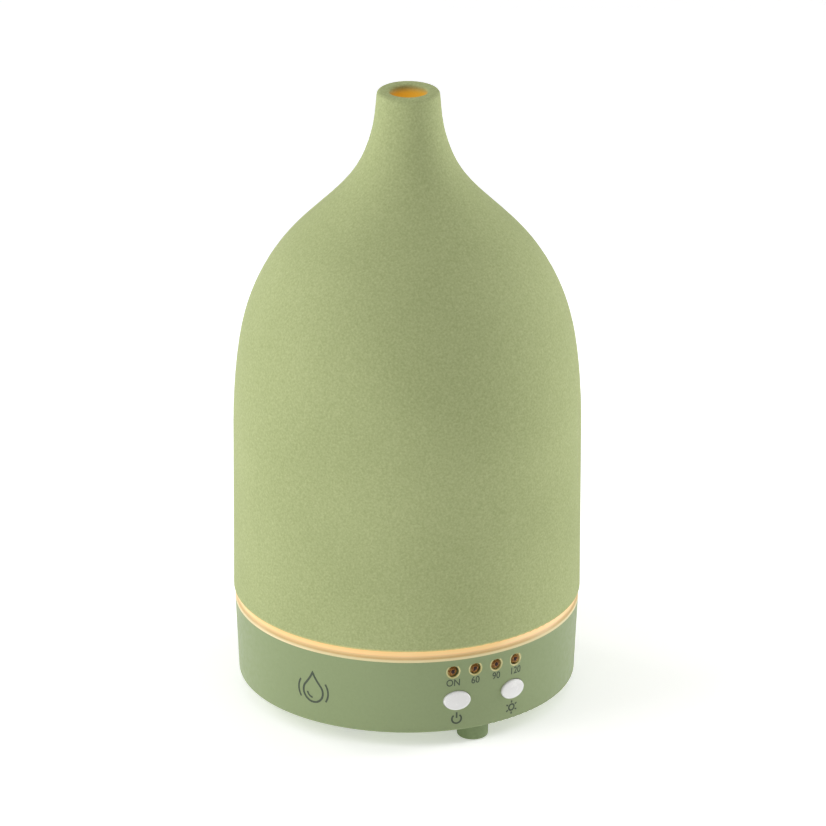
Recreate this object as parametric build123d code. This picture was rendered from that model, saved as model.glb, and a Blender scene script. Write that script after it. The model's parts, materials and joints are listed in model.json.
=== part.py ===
from build123d import *
import os
from math import cos, radians, sin

# Ultrasonic essential oil diffuser: a ceramic bottle cover stands over a water tank on a round
# plastic base. Millimetres, +Z up, origin on the axis at table level. The control panel faces -Y.
# Angles are counted from the front (-Y) towards +X.

# Driving dimensions
TOTAL_HEIGHT = 165.2
COVER_RADIUS = 45.65
COVER_Z = 27.4
BASE_TOP_RADIUS = 45.25
BASE_TOP_Z = 24.5
BASE_FOOT_RADIUS = 44.35
BASE_FOOT_Z = 4.0
WALL = 2.2
FIT_GAP = 0.05
SLIDE_GAP = 0.3
EDGE_BREAK = 0.8

# Ceramic cover
NECK_RADIUS = 8.12
NECK_BORE = 4.88
CERAMIC_WALL = 4.3
SHOULDER_Z = 74.0
DRAFT = 0.15
LIP_ROUND = 1.1
BORE_ROUND = 0.8
SHOULDER_POINTS = [(44.55, 91.0), (42.4, 103.5), (31.8, 124.0), (17.0, 139.2), (12.4, 146.0), (9.8, 153.0)]
INNER_POINTS = [(38.5, 102.4), (28.6, 121.4), (14.2, 136.2), (6.5, 149.0)]
BORE_START_Z = 156.0

# Light ring and gasket
RING_RADIUS = 44.85
RING_LIP = 45.25
RING_INNER = 39.8
RIB_RADIUS = COVER_RADIUS - CERAMIC_WALL - SLIDE_GAP
RIB_HEIGHT = 2.0
GASKET_INNER = 40.9
GASKET_OUTER = 42.1
GASKET_HEIGHT = 1.2

# Water tank
TANK_BORE = 37.5
TANK_OUTER = 39.5
TANK_RIM_Z = 64.0
FLANGE_RADIUS = 42.8
FLANGE_Z = 23.0
FLANGE_TOP_Z = 24.4
FLOOR_EDGE_Z = 27.2
FLOOR_CENTRE_Z = 24.3
FLOOR_THICK = 2.0
DUCT_RADIUS = 30.5
DUCT_ANGLE = 270.0
DUCT_SIZE = (9.0, 13.0)
DUCT_TOP_Z = 54.0
DUCT_WALL = 1.6

# Inner lid
LID_SKIRT = 37.1
LID_WALL = 1.6
LID_SKIRT_DEPTH = 6.0
LID_FLANGE = 2.0
COLLAR_RADIUS = 10.4
COLLAR_BASE_Z = 88.5
COLLAR_TOP_Z = 92.0
CHIMNEY_STEM = 8.5
CHIMNEY_RADIUS = 7.6
CHIMNEY_TOP_Z = 116.0

# Transducer
DISC_RADIUS = 10.0
DISC_THICK = 1.2
SEAL_RADIUS = 12.0
SEAL_BORE = 8.3
SEAL_BOTTOM_Z = 18.0
SEAL_TOP_Z = 22.2
RETAINER_THICK = 1.2
RETAINER_SCREW_CIRCLE = 16.8
RETAINER_SCREW_ANGLES = (0.0, 120.0, 240.0)

# Feet and fasteners
FOOT_RADIUS = 4.1
FOOT_CIRCLE = 39.6
FOOT_TURN = -1.5
FOOT_STEM = 1.6
FOOT_ANGLES = {"foot_front": FOOT_TURN, "foot_right": FOOT_TURN + 120.0, "foot_left": FOOT_TURN + 240.0}
PLATE_RADIUS = 41.7
PLATE_SEAT_RADIUS = 40.9
PLATE_THICK = 2.0
SCREW_CIRCLE = 35.6
SCREW_ANGLES = (50.0, 140.0, 220.0, 310.0)

# Control panel
PANEL_PITCH = 7.8
INDICATOR_Z = 21.15
INDICATOR_NAMES = ("indicator_on", "indicator_60", "indicator_90", "indicator_120")
INDICATOR_ANGLES = [PANEL_PITCH * (i - 1.5) for i in range(4)]
INDICATOR_RADIUS = 1.5
INDICATOR_HOLE = 1.7
INDICATOR_SINK = 0.35
INDICATOR_DEPTH = 0.15
BUTTON_ANGLES = {"power": -10.3, "light": 10.6}
BUTTON_Z = 12.9
BUTTON_HALF = (3.57, 2.63)
BUTTON_PROUD = 0.75
BUTTON_GAP = 0.1
BOARD_FRONT_Y = -33.8
BOARD_THICK = 1.2
BOARD_HALF_WIDTH = 21.0
BOARD_Z = (7.5, 22.4)
SWITCH_SIZE = 6.0
SWITCH_DEPTH = 3.5
PLUNGER_RADIUS = 1.75
PLUNGER_LENGTH = 1.5

# Main board and power inlet
MAIN_Z = 8.4
MAIN_THICK = 1.6
MAIN_TOP_Z = MAIN_Z + MAIN_THICK
MAIN_RADIUS = 40.2
MAIN_SCREWS = ((5.0, -24.0), (31.0, -14.0), (8.5, 33.0))
JACK_Z = MAIN_TOP_Z + 4.8
JACK_BODY = (9.0, 12.0, 9.6)
JACK_NOSE = 3.9
JACK_NOSE_Y = 41.9
JACK_OPENING = 4.1
JACK_BORE = 2.9
JACK_PIN = 1.0

# Fan
FAN_X = -17.5
FAN_SIZE = 30.0
FAN_DEPTH = 7.0
FAN_Z = 7.4
FAN_THROAT = 13.9
FAN_HUB = 7.2
FAN_TIP = 13.3
FAN_BLADES = 7
FAN_SCREW_PITCH = 24.0

# Ring board
RING_BOARD_Z = 20.0
RING_BOARD_THICK = 1.2
RING_BOARD_RADII = (33.0, 40.2)
RING_LED_ANGLES = [60.0 + 30.0 * i for i in range(9)]
RING_LED_CIRCLE = 37.6

SOCKET_SPOTS = ((6.0, -11.0), (3.0, 17.5), (11.0, -27.0), (35.5, -5.5))
PLUG_TOP_Z = MAIN_TOP_Z + 5.0
PIN_PITCH = 2.0
WIRE_RADIUS = 0.45
WIRE_BEND = 0.85


def polar(radius, angle, z=0.0):
    """A point at a radius and an angle from the front."""
    return Vector(radius * sin(radians(angle)), -radius * cos(radians(angle)), z)


def turned(*points):
    """A solid of revolution about Z from a closed outline of (radius, z) corners."""
    outline = Polyline(*[(r, 0, z) for r, z in points], close=True)
    return revolve(make_face(outline), Axis.Z)


def rod(radius, z0, z1, x=0.0, y=0.0):
    """A vertical cylinder between two heights."""
    return Pos(x, y, (z0 + z1) / 2) * Cylinder(radius, z1 - z0)


def rods(radius, z0, z1, places):
    """One vertical cylinder at each place."""
    made = [rod(radius, z0, z1, p[0], p[1]) for p in places]
    return made[0].fuse(*made[1:]) if len(made) > 1 else made[0]


def block(x0, x1, y0, y1, z0, z1):
    """A box between two corners."""
    centre = Pos((x0 + x1) / 2, (y0 + y1) / 2, (z0 + z1) / 2)
    return centre * Box(x1 - x0, y1 - y0, z1 - z0)


def cross_rod(radius, x, z, y0, y1):
    """A cylinder along Y between two depths."""
    return Pos(x, (y0 + y1) / 2, z) * Rot(90, 0, 0) * Cylinder(radius, y1 - y0)


def spots(circle, angles):
    """Plan positions on a circle."""
    return [tuple(polar(circle, a))[:2] for a in angles]


def outer_radius(z):
    """The base housing's outside radius at a height."""
    share = (z - BASE_FOOT_Z) / (BASE_TOP_Z - BASE_FOOT_Z)
    return BASE_FOOT_RADIUS + share * (BASE_TOP_RADIUS - BASE_FOOT_RADIUS)


def hollow_screw(x, y, seat_z, tip_z, shank, head, head_height, head_below=True):
    """A pan head screw whose head lies against seat_z and whose tip is at tip_z."""
    way = -1 if head_below else 1
    body = rod(shank, min(seat_z, tip_z), max(seat_z, tip_z), x, y)
    top = seat_z + way * head_height
    head_solid = rod(head, min(seat_z, top), max(seat_z, top), x, y)
    slot_z = top - way * head_height * 0.45
    cross = Box(head * 1.2, head * 0.28, head_height * 0.9)
    cross += Box(head * 0.28, head * 1.2, head_height * 0.9)
    recess = Pos(x, y, (top + slot_z) / 2) * Rot(0, 0, 45) * cross
    recess = recess & rod(head, min(top, slot_z), max(top, slot_z), x, y)
    return body + head_solid - recess


# --- Cover and lid ---------------------------------------------------------------------------


def ceramic_cover():
    """Slip-cast bottle: near-cylindrical body, full shoulder and a narrow neck."""
    shoulder = COVER_RADIUS - DRAFT
    outside = Spline(
        (shoulder, 0, SHOULDER_Z),
        *[(r, 0, z) for r, z in SHOULDER_POINTS],
        (NECK_RADIUS, 0, TOTAL_HEIGHT),
        tangents=[(-0.01, 0, 1), (-0.08, 0, 1)],
    )
    inner_foot = COVER_RADIUS - CERAMIC_WALL
    inside = Spline(
        (NECK_BORE, 0, BORE_START_Z),
        *[(r, 0, z) for r, z in reversed(INNER_POINTS)],
        (shoulder - CERAMIC_WALL + 0.1, 0, SHOULDER_Z),
        tangents=[(0, 0, -1), (0.01, 0, -1)],
    )
    lines = [
        Line((inner_foot, 0, COVER_Z), (COVER_RADIUS, 0, COVER_Z)),
        Line((COVER_RADIUS, 0, COVER_Z), outside @ 0),
        outside,
        Line(outside @ 1, (NECK_BORE, 0, TOTAL_HEIGHT)),
        Line((NECK_BORE, 0, TOTAL_HEIGHT), inside @ 0),
        inside,
        Line(inside @ 1, (inner_foot, 0, COVER_Z)),
    ]
    body = revolve(make_face(lines), Axis.Z)
    rim = body.edges().filter_by(GeomType.CIRCLE).filter_by_position(
        Axis.Z, TOTAL_HEIGHT - 0.01, TOTAL_HEIGHT + 0.01
    ).sort_by(SortBy.RADIUS)
    body = fillet(rim[-1], LIP_ROUND)
    mouth = body.edges().filter_by(GeomType.CIRCLE).filter_by_position(
        Axis.Z, TOTAL_HEIGHT - 0.01, TOTAL_HEIGHT + 0.01
    ).sort_by(SortBy.RADIUS)
    body = fillet(mouth[0], BORE_ROUND)
    foot = body.edges().filter_by(GeomType.CIRCLE).filter_by_position(
        Axis.Z, COVER_Z - 0.01, COVER_Z + 0.01
    )
    return fillet(foot, EDGE_BREAK)


def inner_lid():
    """Translucent lid: a skirt inside the tank's rim and a low dome up to the chimney's collar."""
    flange_top = TANK_RIM_Z + LID_FLANGE
    skirt_foot = TANK_RIM_Z - LID_SKIRT_DEPTH
    dome = Spline(
        (LID_SKIRT, 0, flange_top),
        (31.0, 0, 77.0),
        (17.5, 0, 85.0),
        (COLLAR_RADIUS, 0, COLLAR_BASE_Z),
        tangents=[(-0.2, 0, 1), (-0.5, 0, 1)],
    )
    roof = Spline(
        (CHIMNEY_STEM, 0, COLLAR_BASE_Z - LID_WALL),
        (16.7, 0, 83.4),
        (30.0, 0, 75.5),
        (LID_SKIRT - LID_WALL, 0, flange_top - 1.0),
        tangents=[(1, 0, -0.4), (0.1, 0, -1)],
    )
    lines = [
        dome,
        Polyline(
            dome @ 1,
            (COLLAR_RADIUS, 0, COLLAR_TOP_Z),
            (CHIMNEY_STEM, 0, COLLAR_TOP_Z),
            roof @ 0,
        ),
        roof,
        Polyline(
            roof @ 1,
            (LID_SKIRT - LID_WALL, 0, skirt_foot),
            (LID_SKIRT, 0, skirt_foot),
            (LID_SKIRT, 0, TANK_RIM_Z),
            (TANK_OUTER, 0, TANK_RIM_Z),
            (TANK_OUTER, 0, flange_top),
            dome @ 0,
        ),
    ]
    return revolve(make_face(lines), Axis.Z)


def mist_chimney():
    """Tapered tube that presses into the lid's collar and leads the mist up to the neck."""
    foot = COLLAR_BASE_Z - 1.0
    tube = turned(
        (CHIMNEY_STEM - LID_WALL, foot),
        (CHIMNEY_STEM, foot),
        (CHIMNEY_STEM, COLLAR_TOP_Z),
        (CHIMNEY_STEM + 1.3, COLLAR_TOP_Z),
        (CHIMNEY_STEM + 1.3, COLLAR_TOP_Z + 1.2),
        (CHIMNEY_STEM + 0.4, COLLAR_TOP_Z + 1.6),
        (CHIMNEY_RADIUS, CHIMNEY_TOP_Z),
        (CHIMNEY_RADIUS - LID_WALL, CHIMNEY_TOP_Z),
    )
    lip = tube.edges().filter_by(GeomType.CIRCLE).filter_by_position(
        Axis.Z, CHIMNEY_TOP_Z - 0.01, CHIMNEY_TOP_Z + 0.01
    )
    return fillet(lip, LID_WALL * 0.4)


# --- Tank, light ring and transducer ---------------------------------------------------------


def water_tank():
    """Bowl with a sloping floor, transducer socket, air duct and screw bosses, in one moulding."""
    socket = SEAL_RADIUS + 0.1
    bowl = turned(
        (TANK_OUTER, TANK_RIM_Z),
        (TANK_OUTER, FLANGE_TOP_Z),
        (FLANGE_RADIUS, FLANGE_TOP_Z),
        (FLANGE_RADIUS, FLANGE_Z),
        (TANK_BORE, FLANGE_Z),
        (TANK_BORE, FLOOR_EDGE_Z - FLOOR_THICK),
        (socket + 2.0, FLOOR_CENTRE_Z - FLOOR_THICK),
        (socket + 2.0, SEAL_BOTTOM_Z),
        (socket, SEAL_BOTTOM_Z),
        (socket, SEAL_TOP_Z),
        (SEAL_BORE, SEAL_TOP_Z),
        (SEAL_BORE, FLOOR_CENTRE_Z - 0.6),
        (socket + 0.9, FLOOR_CENTRE_Z),
        (TANK_BORE - 1.5, FLOOR_EDGE_Z),
        (TANK_BORE, FLOOR_EDGE_Z + 1.5),
        (TANK_BORE, TANK_RIM_Z),
    )
    duct_at = polar(DUCT_RADIUS, DUCT_ANGLE)
    width, depth = DUCT_SIZE
    duct_foot = FLOOR_CENTRE_Z - 1.0
    outside = Pos(duct_at.X, duct_at.Y) * extrude(RectangleRounded(width, depth, 2.5), DUCT_TOP_Z)
    outside -= block(-60, 60, -60, 60, 0, duct_foot)
    inner_size = (width - 2 * DUCT_WALL, depth - 2 * DUCT_WALL)
    passage = Pos(duct_at.X, duct_at.Y) * extrude(RectangleRounded(*inner_size, 1.0), TANK_RIM_Z)
    boss_spots = spots(SCREW_CIRCLE, SCREW_ANGLES)
    screw_bosses = rods(3.2, MAIN_Z, FLOOR_EDGE_Z - 1.0, boss_spots)
    screw_bosses += rods(4.0, RING_BOARD_Z + RING_BOARD_THICK, FLOOR_EDGE_Z - 1.0, boss_spots)
    retainer_spots = spots(RETAINER_SCREW_CIRCLE, RETAINER_SCREW_ANGLES)
    retainer_bosses = rods(2.4, SEAL_BOTTOM_Z, FLOOR_CENTRE_Z - 0.5, retainer_spots)
    holes = rods(1.5, MAIN_Z, 21.5, boss_spots)
    small_holes = rods(1.0, SEAL_BOTTOM_Z, 22.6, retainer_spots)
    return bowl + outside + screw_bosses + retainer_bosses - passage - holes - small_holes


def light_ring():
    """Frosted ring on the housing's top edge that carries the cover and glows when lit."""
    groove_roof = FLANGE_TOP_Z + GASKET_HEIGHT
    ring = turned(
        (RING_RADIUS, COVER_Z),
        (RING_RADIUS, BASE_TOP_Z + 1.1),
        (RING_LIP, BASE_TOP_Z + 0.7),
        (RING_LIP, BASE_TOP_Z),
        (GASKET_OUTER + 0.1, BASE_TOP_Z),
        (GASKET_OUTER + 0.1, groove_roof),
        (GASKET_INNER - 0.1, groove_roof),
        (GASKET_INNER - 0.1, BASE_TOP_Z),
        (RING_INNER, BASE_TOP_Z),
        (RING_INNER, COVER_Z + RIB_HEIGHT),
        (RIB_RADIUS, COVER_Z + RIB_HEIGHT),
        (RIB_RADIUS, COVER_Z),
    )
    lip = ring.edges().filter_by(GeomType.CIRCLE).filter_by_position(
        Axis.Z, BASE_TOP_Z + 0.69, BASE_TOP_Z + 0.71
    )
    return fillet(lip, 0.2)


def tank_gasket():
    """Silicone ring between the tank's flange and the light ring."""
    top = FLANGE_TOP_Z + GASKET_HEIGHT
    return turned(
        (GASKET_INNER, FLANGE_TOP_Z),
        (GASKET_OUTER, FLANGE_TOP_Z),
        (GASKET_OUTER, top),
        (GASKET_INNER, top),
    )


def transducer_parts():
    """Piezo disc in its silicone ring, held up into the tank's socket by a plate and screws."""
    middle = (SEAL_BOTTOM_Z + SEAL_TOP_Z) / 2
    low, high = middle - DISC_THICK / 2, middle + DISC_THICK / 2
    disc = rod(DISC_RADIUS, low, high)
    electrode = rod(DISC_RADIUS * 0.55, low - 0.3, low)
    seal = turned(
        (SEAL_BORE, SEAL_BOTTOM_Z),
        (SEAL_RADIUS, SEAL_BOTTOM_Z),
        (SEAL_RADIUS, SEAL_TOP_Z),
        (SEAL_BORE, SEAL_TOP_Z),
        (SEAL_BORE, high),
        (DISC_RADIUS, high),
        (DISC_RADIUS, low),
        (SEAL_BORE, low),
    )
    plate_z = SEAL_BOTTOM_Z - RETAINER_THICK
    places = spots(RETAINER_SCREW_CIRCLE, RETAINER_SCREW_ANGLES)
    plate = rod(SEAL_RADIUS + 2.0, plate_z, SEAL_BOTTOM_Z)
    for angle in RETAINER_SCREW_ANGLES:
        ear = block(-3.0, 3.0, -RETAINER_SCREW_CIRCLE, -8.0, plate_z, SEAL_BOTTOM_Z)
        plate += Rot(0, 0, angle) * ear
    plate += rods(3.0, plate_z, SEAL_BOTTOM_Z, places)
    plate -= rod(SEAL_BORE - 0.5, plate_z, SEAL_BOTTOM_Z)
    plate -= rods(1.2, plate_z, SEAL_BOTTOM_Z, places)
    screws = [hollow_screw(x, y, plate_z, 22.3, 0.95, 1.9, 1.1) for x, y in places]
    return {
        "transducer_disc": disc + electrode,
        "transducer_seal": seal,
        "transducer_retainer": plate,
        "retainer_screws": Compound(screws),
    }


# --- Base shells -----------------------------------------------------------------------------


def base_housing():
    """Tapered ring wall with a ledge for the tank and the openings of the panel and inlet."""
    ledge_inner, ledge_z = 40.6, FLANGE_Z - 1.5
    inner_top = outer_radius(ledge_z) - WALL
    seat_z = BASE_FOOT_Z + PLATE_THICK
    wall = turned(
        (BASE_FOOT_RADIUS, BASE_FOOT_Z),
        (BASE_TOP_RADIUS, BASE_TOP_Z),
        (FLANGE_RADIUS + 0.15, BASE_TOP_Z),
        (FLANGE_RADIUS + 0.15, FLANGE_Z),
        (ledge_inner, FLANGE_Z),
        (ledge_inner, ledge_z),
        (inner_top - 0.3, ledge_z - 1.5),
        (outer_radius(seat_z + 2.2) - WALL, seat_z + 2.2),
        (PLATE_SEAT_RADIUS, seat_z + 1.0),
        (PLATE_SEAT_RADIUS, seat_z),
        (PLATE_RADIUS + 0.1, seat_z),
        (PLATE_RADIUS + 0.1, BASE_FOOT_Z),
    )
    outer_edges = wall.edges().filter_by(GeomType.CIRCLE).filter_by_position(
        Axis.Z, BASE_FOOT_Z - 0.01, BASE_FOOT_Z + 0.01
    ).sort_by(SortBy.RADIUS)
    wall = fillet(outer_edges[-1], EDGE_BREAK)
    wall -= block(-17, 17, -60, -35, ledge_z - 2.0, FLANGE_Z) & rod(42.6, 0, 30)
    for angle in INDICATOR_ANGLES:
        surface = outer_radius(INDICATOR_Z)
        spot = polar(surface, angle, INDICATOR_Z)
        wall -= cross_rod(INDICATOR_HOLE, spot.X, spot.Z, -60, -35)
        sink = Cone(INDICATOR_HOLE - 0.02, INDICATOR_HOLE + INDICATOR_SINK + 0.05, INDICATOR_SINK + 0.05)
        outward = Plane(origin=spot, z_dir=polar(1, angle))
        wall -= outward * Pos(0, 0, -INDICATOR_SINK / 2 + 0.025) * sink
    for angle in BUTTON_ANGLES.values():
        spot = polar(outer_radius(BUTTON_Z), angle, BUTTON_Z)
        opening = Ellipse(BUTTON_HALF[0] + BUTTON_GAP, BUTTON_HALF[1] + BUTTON_GAP)
        front = Plane(origin=(spot.X, -35, spot.Z), z_dir=(0, -1, 0), x_dir=(1, 0, 0))
        wall -= extrude(front * opening, 20)
    wall -= cross_rod(JACK_OPENING, 0, JACK_Z, 35, 60)
    barb_room = rods(FOOT_STEM + 0.7, seat_z, seat_z + 1.6, spots(FOOT_CIRCLE, FOOT_ANGLES.values()))
    wall -= barb_room
    return wall


def bottom_cover():
    """Flat plate with the fan grille, screw wells, fan pads, board posts and board guides."""
    top = BASE_FOOT_Z + PLATE_THICK
    plate = rod(PLATE_RADIUS, BASE_FOOT_Z, top)
    wells = spots(SCREW_CIRCLE, SCREW_ANGLES)
    plate += rods(4.2, top, MAIN_Z - 0.2, wells)
    half = FAN_SCREW_PITCH / 2
    pads = [(FAN_X + sx * half, sy * half) for sx in (-1, 1) for sy in (-1, 1)]
    plate += rods(2.8, top, FAN_Z, pads)
    plate += rods(2.8, top, MAIN_Z, MAIN_SCREWS)
    back = BOARD_FRONT_Y + BOARD_THICK
    for side in (-1, 1):
        x0, x1 = sorted((side * 12.0, side * 16.0))
        guide = block(x0, x1, BOARD_FRONT_Y - 1.6, back + 1.6, top, BOARD_Z[0] + 4.0)
        plate += guide - block(x0, x1, BOARD_FRONT_Y - 0.1, back + 0.1, BOARD_Z[0], 30)
    plate -= rods(1.65, BASE_FOOT_Z, MAIN_Z, wells)
    plate -= rods(3.1, BASE_FOOT_Z, BASE_FOOT_Z + 2.2, wells)
    plate -= rods(1.05, top - 1.2, FAN_Z, pads)
    plate -= rods(1.05, top - 1.2, MAIN_Z, MAIN_SCREWS)
    plate -= rods(FOOT_STEM, BASE_FOOT_Z, top, spots(FOOT_CIRCLE, FOOT_ANGLES.values()))
    intake, slot, pitch = 12.6, 1.9, 3.6
    for row in range(-3, 4):
        y = row * pitch
        half_length = (intake**2 - y**2) ** 0.5 - 0.6
        plate -= Pos(FAN_X, y, BASE_FOOT_Z) * extrude(SlotOverall(2 * half_length, slot), PLATE_THICK)
    return plate


def feet():
    """Three soft plugs that press into the bottom cover."""
    made = {}
    for name, angle in FOOT_ANGLES.items():
        x, y = spots(FOOT_CIRCLE, [angle])[0]
        pad = rod(FOOT_RADIUS, 0, BASE_FOOT_Z, x, y)
        edge = pad.edges().filter_by(GeomType.CIRCLE).sort_by(Axis.Z)[0]
        stem = rod(FOOT_STEM, BASE_FOOT_Z, BASE_FOOT_Z + PLATE_THICK, x, y)
        barb = Pos(x, y, BASE_FOOT_Z + PLATE_THICK + 0.5) * Cone(FOOT_STEM + 0.4, FOOT_STEM - 0.2, 1.0)
        made[name] = fillet(edge, EDGE_BREAK) + stem + barb
    return made


def housing_screws():
    """Four screws from the bottom cover up into the tank's bosses."""
    seat = BASE_FOOT_Z + 2.2
    places = spots(SCREW_CIRCLE, SCREW_ANGLES)
    return Compound([hollow_screw(x, y, seat, 20.5, 1.45, 2.8, 1.7) for x, y in places])


# --- Control panel ---------------------------------------------------------------------------


def buttons():
    """Oval push keys, each with a retaining flange and a stem that bears on its switch."""
    made = {}
    stem_end = BOARD_FRONT_Y - SWITCH_DEPTH - PLUNGER_LENGTH
    flange_outer = outer_radius(BUTTON_Z) - WALL - SLIDE_GAP - 0.15
    face = outer_radius(BUTTON_Z) + BUTTON_PROUD
    for name, angle in BUTTON_ANGLES.items():
        x = polar(outer_radius(BUTTON_Z), angle).X
        front = Plane(origin=(x, -38.9, BUTTON_Z), z_dir=(0, -1, 0), x_dir=(1, 0, 0))
        cap = extrude(front * Ellipse(*BUTTON_HALF), 12) & rod(face, 0, 30)
        rim = cap.edges().sort_by(Axis.Y)[0]
        cap = fillet(rim, 0.45)
        flange = extrude(front * Ellipse(BUTTON_HALF[0] + 1.1, BUTTON_HALF[1] + 1.1), 12)
        flange = flange & (rod(flange_outer, 0, 30) - rod(flange_outer - 1.2, 0, 30))
        cap -= extrude(front * Ellipse(BUTTON_HALF[0] - 1.1, BUTTON_HALF[1] - 1.1), 3.2)
        stem = cross_rod(1.3, x, BUTTON_Z, -42.6, stem_end)
        made[name + "_button"] = cap + flange + stem
    return made


def switches():
    """Tactile switches on the control board, each a body and a plunger."""
    made = {}
    body_front = BOARD_FRONT_Y - SWITCH_DEPTH
    half = SWITCH_SIZE / 2
    for name, angle in BUTTON_ANGLES.items():
        x = polar(outer_radius(BUTTON_Z), angle).X
        z = BUTTON_Z
        body = block(x - half, x + half, body_front, BOARD_FRONT_Y, z - half, z + half)
        body -= cross_rod(PLUNGER_RADIUS + FIT_GAP, x, z, body_front, body_front + 1.6)
        made[name + "_switch"] = body
        # The plunger stops short of the pocket's floor by its travel.
        end = body_front - PLUNGER_LENGTH
        made[name + "_switch_plunger"] = cross_rod(PLUNGER_RADIUS, x, z, end, body_front + 0.9)
    return made


def control_board():
    """Upright board behind the panel."""
    back = BOARD_FRONT_Y + BOARD_THICK
    z0, z1 = BOARD_Z
    board = block(-BOARD_HALF_WIDTH, BOARD_HALF_WIDTH, BOARD_FRONT_Y, back, z0, z1)
    corners = board.edges().filter_by(Axis.Y)
    return fillet(corners, 1.0)


def indicators():
    """Clear 3 mm LEDs, each with its two-post leadframe moulded in."""
    made = {}
    for name, angle in zip(INDICATOR_NAMES, INDICATOR_ANGLES):
        spot = polar(outer_radius(INDICATOR_Z) - INDICATOR_DEPTH, angle, INDICATOR_Z)
        tip, x, z = spot.Y, spot.X, spot.Z
        straight = cross_rod(INDICATOR_RADIUS, x, z, tip + 1.5, tip + 5.2)
        dome = Pos(x, tip + 1.5, z) * Sphere(INDICATOR_RADIUS)
        collar = cross_rod(1.6, x, z, tip + 4.3, tip + 5.2)
        posts = []
        for side, width in ((-1, 0.75), (1, 0.4)):
            px = x + side * 0.62
            in_lens = block(px - width / 2, px + width / 2, tip + 2.4, tip + 5.2, z - 0.3, z + 0.3)
            leg = block(px - 0.22, px + 0.22, tip + 5.2, BOARD_FRONT_Y, z - 0.22, z + 0.22)
            posts.append(in_lens + leg)
        cup = cross_rod(0.55, x - 0.45, z, tip + 1.9, tip + 2.4)
        cup -= Pos(x - 0.45, tip + 2.05, z) * Rot(90, 0, 0) * Cone(0.2, 0.45, 0.34)
        posts[0] = posts[0] + cup
        lens = straight + dome + collar
        made[name] = lens - posts[0] - posts[1]
        made[name + "_leads"] = Compound(posts)
    return made


# --- Main board ------------------------------------------------------------------------------


def main_board():
    """Driver board: a disc segment beside the fan, clear of the bosses and feet."""
    disc = rod(MAIN_RADIUS, MAIN_Z, MAIN_TOP_Z)
    board = disc & block(-1.5, 60, -30.5, 60, 0, 30)
    board -= rods(4.0, MAIN_Z, MAIN_TOP_Z, spots(SCREW_CIRCLE, SCREW_ANGLES))
    board -= rods(1.3, MAIN_Z, MAIN_TOP_Z, MAIN_SCREWS)
    return board


def main_board_screws():
    """Three screws that hold the driver board on its posts."""
    tip = BASE_FOOT_Z + 1.0
    made = [hollow_screw(x, y, MAIN_TOP_Z, tip, 1.0, 2.1, 1.4, False) for x, y in MAIN_SCREWS]
    return Compound(made)


def power_inlet():
    """Barrel jack: housing, centre pin and side contact."""
    width, length, height = JACK_BODY
    nose_front = JACK_NOSE_Y
    body_front = 40.4
    body = block(-width / 2, width / 2, body_front - length, body_front, MAIN_TOP_Z, MAIN_TOP_Z + height)
    shell = body + cross_rod(JACK_NOSE, 0, JACK_Z, body_front, nose_front)
    bore_end = body_front - 6.5
    shell -= cross_rod(JACK_BORE, 0, JACK_Z, bore_end, nose_front)
    shell -= block(-0.8, 0.8, bore_end, body_front - 1.0, JACK_Z - JACK_BORE - 0.8, JACK_Z - JACK_BORE + 0.6)
    pin = cross_rod(JACK_PIN, 0, JACK_Z, bore_end, nose_front - 1.0)
    tip = pin.edges().filter_by(GeomType.CIRCLE).sort_by(Axis.Y)[-1]
    pin = fillet(tip, 0.5)
    floor = JACK_Z - JACK_BORE
    leaf = block(-0.6, 0.6, bore_end + 0.5, body_front - 1.5, floor - 0.6, floor - 0.3)
    return {"dc_jack": shell, "dc_jack_pin": pin, "dc_jack_contact": leaf}


def board_components():
    """The parts that stand on the driver board."""
    top = MAIN_TOP_Z
    made = {}
    for name, x, y, radius, height in (
        ("bulk_capacitor", 14.5, 24.5, 4.0, 8.5),
        ("output_capacitor", 24.5, 20.5, 3.15, 7.0),
    ):
        can = rod(radius, top, top + height, x, y)
        rims = can.edges().filter_by(GeomType.CIRCLE)
        can = fillet(rims, 0.4)
        groove = rod(radius + 1, top + 1.0, top + 1.5, x, y) - rod(radius - 0.25, top, top + 2, x, y)
        made[name] = can - groove
    x, y = 28.5, 4.5
    core = rod(5.0, top, top + 1.0, x, y) + rod(2.4, top + 1.0, top + 6.0, x, y)
    made["choke_core"] = core + rod(5.0, top + 6.0, top + 7.0, x, y)
    turns = [
        Pos(x, y, top + 1.45 + 0.8 * i) * Torus(3.1, 0.38) for i in range(6)
    ]
    made["choke_winding"] = Compound(turns)
    x, y = 17.0, -18.0
    made["heat_sink"] = heat_sink(x, y, top)
    tab = block(x - 5.0, x + 5.0, y - 3.2, y - 2.2, top + 2.0, top + 9.2)
    package = block(x - 5.0, x + 5.0, y - 6.2, y - 3.2, top + 2.0, top + 7.6)
    legs = [block(x + k - 0.4, x + k + 0.4, y - 5.0, y - 4.4, top, top + 2.0) for k in (-2.54, 0, 2.54)]
    transistor = tab + package
    for leg in legs:
        transistor += leg
    made["power_transistor"] = transistor
    made["driver_chip"] = driver_chip(13.5, 5.0, top)
    made["wire_sockets"] = Compound([wire_socket(x, y, top) for x, y in SOCKET_SPOTS])
    made["wire_plugs"] = Compound([wire_plug(x, y, top) for x, y in SOCKET_SPOTS])
    return made


def heat_sink(x, y, z):
    """Folded aluminium sink behind the transistor, with five fins."""
    sink = block(x - 6.5, x + 6.5, y - 2.2, y - 0.9, z, z + 9.5)
    for i in range(5):
        fx = x - 6.5 + i * 2.95
        sink += block(fx, fx + 1.2, y - 0.9, y + 4.0, z, z + 9.5)
    return sink


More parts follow.
